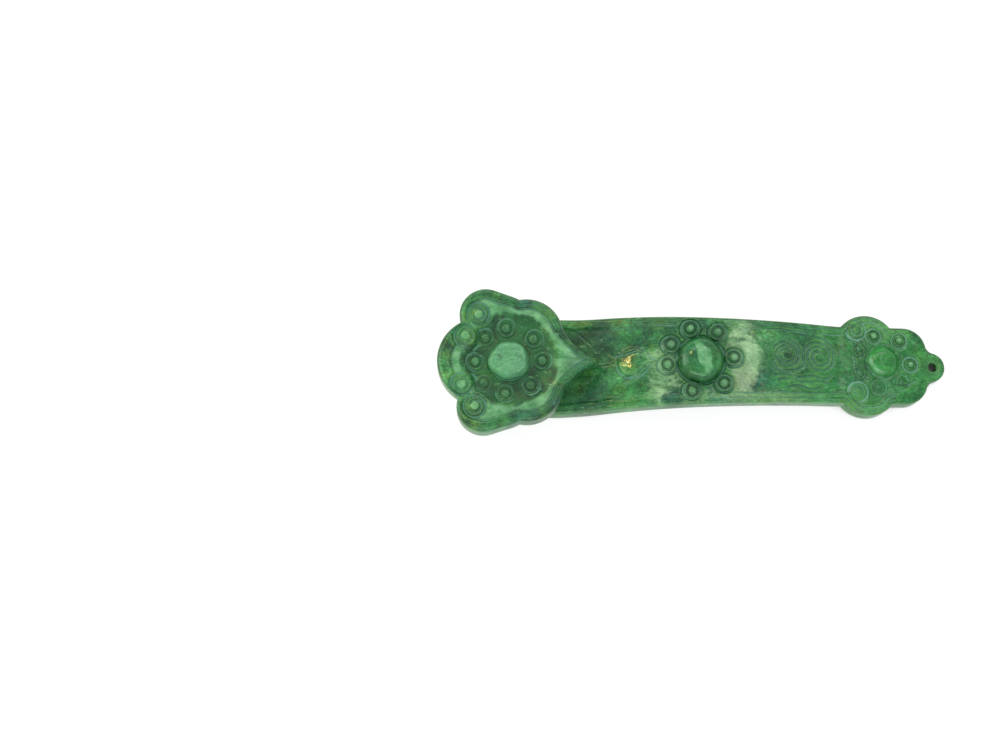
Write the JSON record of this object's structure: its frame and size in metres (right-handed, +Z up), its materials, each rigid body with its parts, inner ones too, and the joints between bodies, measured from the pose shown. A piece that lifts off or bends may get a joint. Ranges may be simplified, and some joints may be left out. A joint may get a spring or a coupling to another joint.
{
  "type": "ruyi scepter",
  "caption": "Small ruyi scepter in mottled green jade: lobed cloud head, arched shaft and lobed tail, beaded rosettes round raised bosses, cord hole in the tail lug.",
  "frame": {"origin": "middle of the whole scepter in plan, on the surface that it rests on", "axes": "+X along the scepter from the head to the tail, +Y across it, +Z up"},
  "size_m": [0.1156, 0.033, 0.0145],
  "materials": {
    "jade_body": "polished",
    "jade_boss": "polished",
    "jade_bead": "polished"
  },
  "bodies": {
    "root": {"shaft": "jade_body", "head_plaque": "jade_body", "tail_plaque": "jade_body", "head_boss": "jade_boss", "middle_boss": "jade_boss", "tail_boss": "jade_boss", "head_bead_1": "jade_bead", "head_bead_2": "jade_bead", "head_bead_3": "jade_bead", "head_bead_4": "jade_bead", "head_bead_5": "jade_bead", "head_bead_6": "jade_bead", "head_bead_7": "jade_bead", "head_bead_8": "jade_bead", "middle_bead_1": "jade_bead", "middle_bead_2": "jade_bead", "middle_bead_3": "jade_bead", "middle_bead_4": "jade_bead", "middle_bead_5": "jade_bead", "middle_bead_6": "jade_bead", "middle_bead_7": "jade_bead", "tail_bead_1": "jade_bead", "tail_bead_2": "jade_bead", "tail_bead_3": "jade_bead", "tail_bead_4": "jade_bead", "tail_bead_5": "jade_bead", "tail_bead_6": "jade_bead", "tail_bead_7": "jade_bead"}
  },
  "joints": []
}
